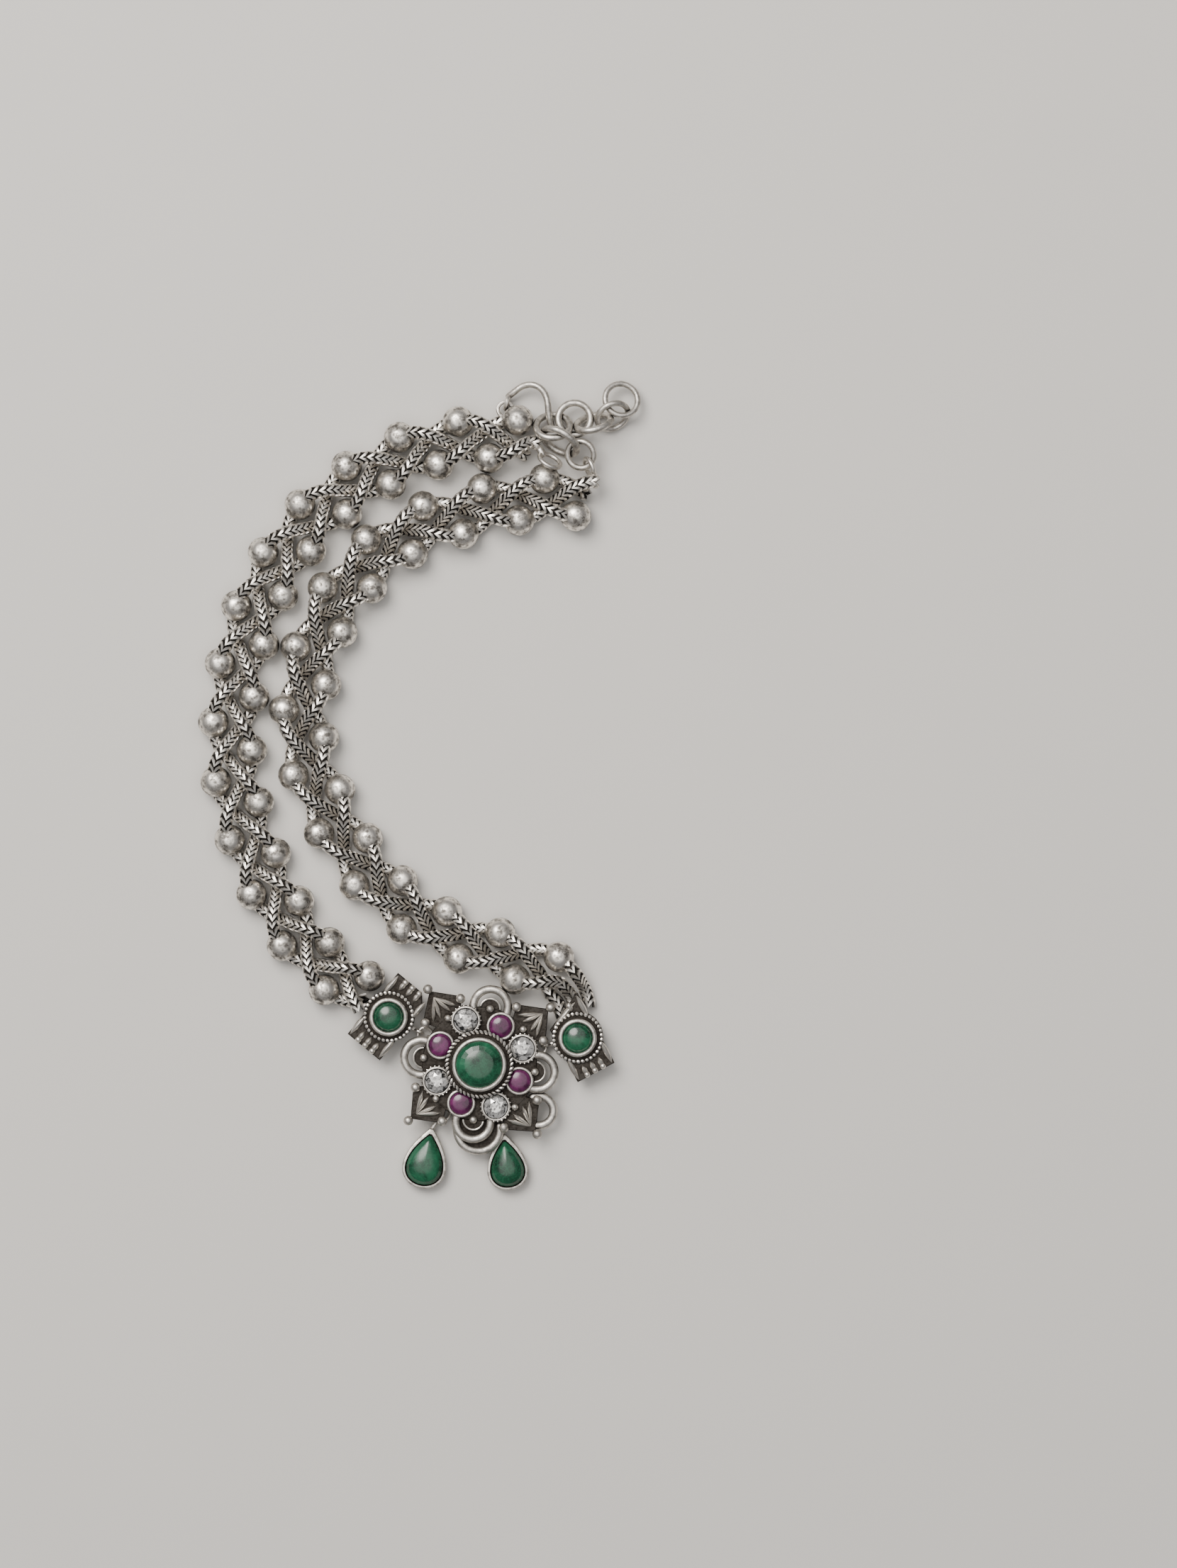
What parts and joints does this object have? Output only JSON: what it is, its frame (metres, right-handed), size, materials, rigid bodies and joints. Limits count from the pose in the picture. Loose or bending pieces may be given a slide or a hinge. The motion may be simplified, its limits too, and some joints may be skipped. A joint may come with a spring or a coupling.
{
  "type": "payal anklet",
  "caption": "Silver-tone payal anklet laid flat: two plaited chain arms set with balls join a flower medallion with stones, side boxes and pear drops to a hook and ring clasp.",
  "frame": {"origin": "centre of the medallion's flat back, on the surface the anklet lies on", "axes": "+Z the way the stones face, +Y from the medallion to the clasp, +X to the right as seen from above"},
  "size_m": [0.057, 0.1048, 0.0055],
  "materials": {
    "silver": "antiqued silver, satin on the high parts and dark in the crevices",
    "green_stone": "polished emerald-green faceted stone",
    "purple_stone": "polished purple faceted stone",
    "white_stone": "polished clear faceted stone with a bright foil back"
  },
  "bodies": {
    "root": {"arm_ring": "silver", "bar_ring": "silver", "box_link_left": "silver", "box_link_right": "silver", "box_stone_left": "green_stone", "box_stone_right": "green_stone", "clasp_hook": "silver", "clasp_ring": "silver", "drop_left": "silver", "drop_link_left": "silver", "drop_link_right": "silver", "drop_right": "silver", "drop_stone_left": "green_stone", "drop_stone_right": "green_stone", "extension_ring_1": "silver", "extension_ring_2": "silver", "extension_ring_3": "silver", "extension_ring_4": "silver", "inner_strand_1": "silver", "inner_strand_2": "silver", "inner_strand_3": "silver", "main_stone": "green_stone", "medallion": "silver", "outer_strand_1": "silver", "outer_strand_2": "silver", "outer_strand_3": "silver", "purple_stone_1": "purple_stone", "purple_stone_2": "purple_stone", "purple_stone_3": "purple_stone", "purple_stone_4": "purple_stone", "side_box_left": "silver", "side_box_right": "silver", "white_stone_1": "white_stone", "white_stone_2": "white_stone", "white_stone_3": "white_stone", "white_stone_4": "white_stone"}
  },
  "joints": []
}
